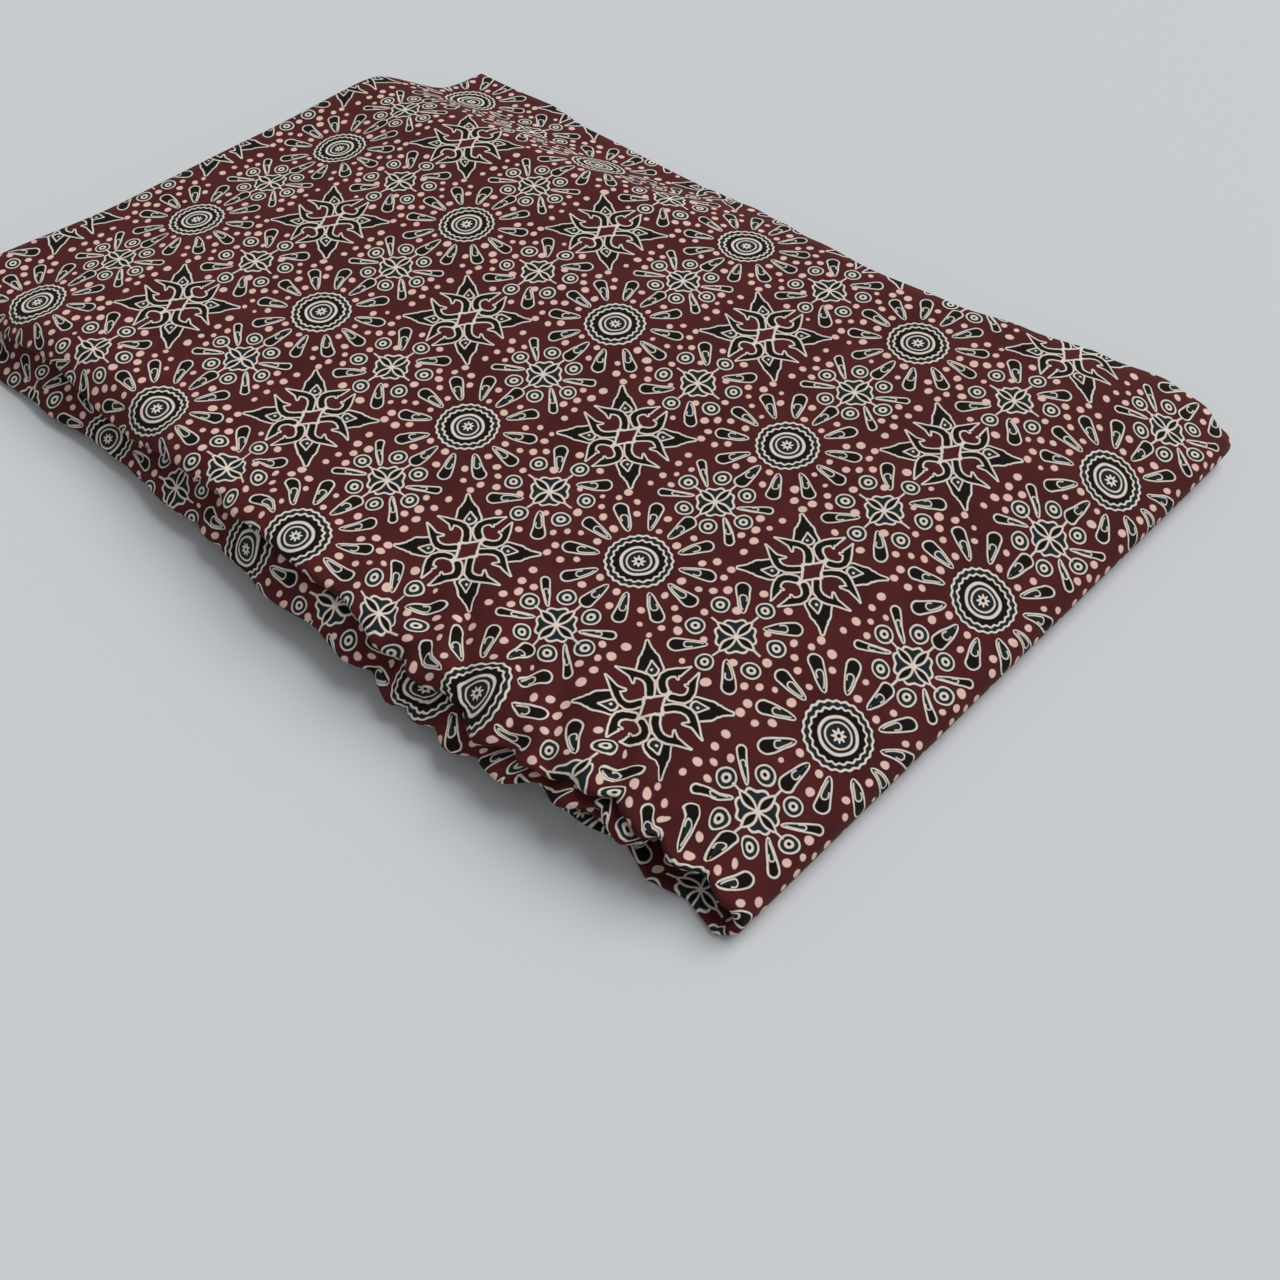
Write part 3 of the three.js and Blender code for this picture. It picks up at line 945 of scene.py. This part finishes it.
pattern, given, sink = new_group("ajrakh print", {"Place": "Vector"}, {**INKS, "Dots": "Float"})
noise = cloth_noise(given["Place"], scale=9.0, detail=1.0, output="Color")
shake = vector_calc("SCALE", vector_calc("SUBTRACT", noise, (0.5, 0.5, 0.5)), scale=STAMP_SHIFT)
along, up, uneven_size = apart(vector_calc("ADD", given["Place"], shake))
fold_x = calc("PINGPONG", along, 0.5)
fold_y = calc("PINGPONG", up, RISE)
far_x, far_y = 0.5 - fold_x, RISE - fold_y
folded = together(fold_x, fold_y)

# Two rosettes stand at opposite corners of the folded repeat, and the nearer one counts.
nearer = calc("GREATER_THAN", fold_x * 0.5 - fold_y * RISE, (0.25 - RISE**2) / 2)
rosette_x = fold_x + nearer * (far_x - fold_x)
rosette_y = far_y + nearer * (fold_y - far_y)
eye_gap = least(*(away(folded, eye) for eye in EYES))
eyes = {
    "Dark": bordered(eye_gap - EYE_RADIUS),
    "Blue": rings(eye_gap, EYE_BLUE),
    "Cream": rings(eye_gap, EYE_CREAM),
}
inks = strongest(
    call_group(pattern, medallion, Across=fold_x, Up=fold_y),
    call_group(pattern, drops, Across=fold_x, Up=fold_y),
    call_group(pattern, star, Across=far_x, Up=far_y),
    call_group(pattern, rosette, Across=rosette_x, Up=rosette_y),
    drop_inks(folded, SIDE_DROP),
    drop_inks(folded, UPPER_DROP),
    eyes,
)
give(sink, inks)
dot_gap = least(*(away(folded, dot) for dot in DOTS))
dots = inside(dot_gap - (uneven_size * DOT_VARIES + DOT_RADIUS))
pattern.links.new(dots.socket, sink["Dots"])
print(pattern.name, "nodes", len(pattern.nodes))

# %% [markdown]
# ## Dyed cotton
# The ground is madder red, uneven where the dye took differently. The inks are laid over it in the order
# of printing, and the grain of the cloth leaves them a little patchy. The reverse shows the same print
# paler.
# %% Colours of the cloth


def srgb(red, green, blue):
    """A colour named as on a screen, turned into the light values that shaders use."""
    values = [value / 255 for value in (red, green, blue)]
    return (*(v / 12.92 if v <= 0.04045 else ((v + 0.055) / 1.055) ** 2.4 for v in values), 1.0)


GROUND, GROUND_DEEP = srgb(90, 36, 37), srgb(76, 30, 32)
COLOURS = {
    "Dark": srgb(18, 16, 14),
    "Blue": srgb(34, 43, 47),
    "Cream": srgb(243, 230, 217),
    "Dots": srgb(243, 207, 192),
}
REVERSE, REVERSE_VEIL = srgb(112, 66, 62), 0.55  # colour of the reverse, and how far it veils the print
DYE_CONTRAST = 2.4  # between the lighter and the deeper ground
INK_FULL, INK_MISSES = 1.12, 0.3  # strength of the ink, and how much of it the cloth's grain takes away

cotton = bpy.data.materials.new("printed cotton")
cotton.use_nodes = True
tree = cotton.node_tree
tree.nodes.clear()
output = tree.nodes.new("ShaderNodeOutputMaterial")
shader = tree.nodes.new("ShaderNodeBsdfPrincipled")
tree.links.new(shader.outputs["BSDF"], output.inputs["Surface"])
uv = tree.nodes.new("ShaderNodeUVMap")
uv.uv_map = "Print"
at = Field(tree, uv.outputs["UV"])


def blend(amount, first, second):
    """Mix two colours; the node keeps its colour sockets after those for numbers and vectors."""
    node = tree.nodes.new("ShaderNodeMix")
    node.data_type = "RGBA"
    sockets = [node.inputs[0], node.inputs[6], node.inputs[7]]
    wire(tree, sockets, [amount, first, second])
    return Field(tree, node.outputs[2])


dye = cloth_noise(at, scale=4.0, detail=4.0, output="Fac")
grain = cloth_noise(at, scale=60.0, detail=2.0, output="Fac")
deep = calc("MULTIPLY_ADD", dye, DYE_CONTRAST, (1 - DYE_CONTRAST) / 2, clamp=True)
colour = blend(deep, GROUND, GROUND_DEEP)
taken = calc("MULTIPLY_ADD", grain, -INK_MISSES, INK_FULL, clamp=True)
printed_inks = call_group(tree, pattern, Place=at)
for name, ink in COLOURS.items():
    colour = blend(printed_inks[name] * taken, colour, ink)
mark_node = tree.nodes.new("ShaderNodeAttribute")
mark_node.attribute_name = "reverse"
back_face = Field(tree, mark_node.outputs["Fac"])
colour = blend(back_face * REVERSE_VEIL, colour, REVERSE)
wire(tree, [shader.inputs["Base Color"]], [colour])
print(cotton.name, "inks in order:", list(COLOURS))

# %% [markdown]
# ## Finish and weave
# Dyed cotton is matt and a little fuzzy, so it has hardly any gloss and a touch of sheen. Threads this
# fine are too many to model. Two sine waves, one times the other, make a plain weave in the bump. The
# print stays out of it, because dye does not raise the cloth.
# %% Finish of the cloth
ROUGH, ROUGH_VARIES = 0.8, 0.12
THREAD = 0.45  # mm between threads

rough = calc("MULTIPLY_ADD", grain, ROUGH_VARIES, ROUGH)
wire(tree, [shader.inputs["Roughness"]], [rough])
shader.inputs["Specular IOR Level"].default_value = 0.1
shader.inputs["Sheen Weight"].default_value = 0.04
shader.inputs["Sheen Roughness"].default_value = 0.5

warp, weft, _ = apart(vector_calc("SCALE", at, scale=math.pi * REPEAT[0] / THREAD))
weave = calc("SINE", warp) * calc("SINE", weft)
bump = tree.nodes.new("ShaderNodeBump")
bump.inputs["Strength"].default_value = 0.35
bump.inputs["Distance"].default_value = 0.0001
tree.links.new(weave.socket, bump.inputs["Height"])
tree.links.new(bump.outputs["Normal"], shader.inputs["Normal"])
mesh.materials.append(cotton)
print(cotton.name, "nodes", len(tree.nodes))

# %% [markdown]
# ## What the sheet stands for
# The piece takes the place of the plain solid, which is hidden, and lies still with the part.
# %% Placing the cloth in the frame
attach(cloth, "root")
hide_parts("cloth")

# %% [markdown]
# ## Floor and daylight
# The pack lies on a pale plain floor in soft daylight from behind it and above, which leaves the drooping
# front folds in shade. A wide sun gives the soft edge of their shadow, and the sky fills it.
# %% Stage
FLOOR_REACH = 4.0  # m from the pack to the floor's edges
SUN_WAY = (-0.1, -0.64, -0.76)  # the way that the daylight goes
corners = [(x * FLOOR_REACH, y * FLOOR_REACH, 0) for x, y in ((-1, -1), (1, -1), (1, 1), (-1, 1))]
floor_mesh = bpy.data.meshes.new("floor")
floor_mesh.from_pydata(corners, [], [(0, 1, 2, 3)])
floor = bpy.data.objects.new("floor", floor_mesh)
bpy.context.scene.collection.objects.link(floor)
floor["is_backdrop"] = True
pale = bpy.data.materials.new("pale floor")
pale.use_nodes = True
pale_shader = pale.node_tree.nodes["Principled BSDF"]
pale_shader.inputs["Base Color"].default_value = srgb(222, 225, 228)
pale_shader.inputs["Roughness"].default_value = 0.85
floor_mesh.materials.append(pale)

scene = bpy.context.scene
scene.view_settings.view_transform = "Standard"
world = bpy.data.worlds.new("soft daylight")
scene.world = world
world.use_nodes = True
sky = world.node_tree.nodes["Background"]
sky.inputs["Color"].default_value = (0.96, 0.98, 1.0, 1.0)
sky.inputs["Strength"].default_value = 0.29

window = bpy.data.objects.new("window", bpy.data.lights.new("window", "SUN"))
scene.collection.objects.link(window)
window.data.energy = 2.08
window.data.angle = math.radians(48)
window.rotation_euler = Vector(SUN_WAY).to_track_quat("-Z", "Y").to_euler()
print("sky", round(sky.inputs["Strength"].default_value, 2), "sun", round(window.data.energy, 2))

# %% [markdown]
# ## Camera
# The photograph was taken from above the front corner at the spine. The camera's place and aim are
# written in the pack's millimetres, as the folds are, and moved to the frame's origin.
# %% Camera at the photograph's place
CAMERA_AT = (Vector((508.6, -111.3, 373.7)) - Vector((*MIDDLE, 0))) * MM
CAMERA_AIM = (Vector((330.0, 60.2, 26.3)) - Vector((*MIDDLE, 0))) * MM
CAMERA_ROLL = math.radians(-1.01)
camera = bpy.data.objects.new("camera", bpy.data.cameras.new("camera"))
scene.collection.objects.link(camera)
camera.data.lens = 36.84
camera.data.sensor_width = 36.0
camera.data.clip_start = 0.01
look = (CAMERA_AIM - CAMERA_AT).to_track_quat("-Z", "Y").to_matrix() @ Matrix.Rotation(CAMERA_ROLL, 3, "Z")
camera.matrix_world = Matrix.Translation(CAMERA_AT) @ look.to_4x4()
scene.camera = camera
print("camera to pack:", round((CAMERA_AIM - CAMERA_AT).length, 3), "m")

# %% [markdown]
# ## Measure and finish
# The size of the finished piece is printed.
# %% Sizes
low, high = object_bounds()
print("cloth in mm:", [round((b - a) / MM, 1) for a, b in zip(low, high)])
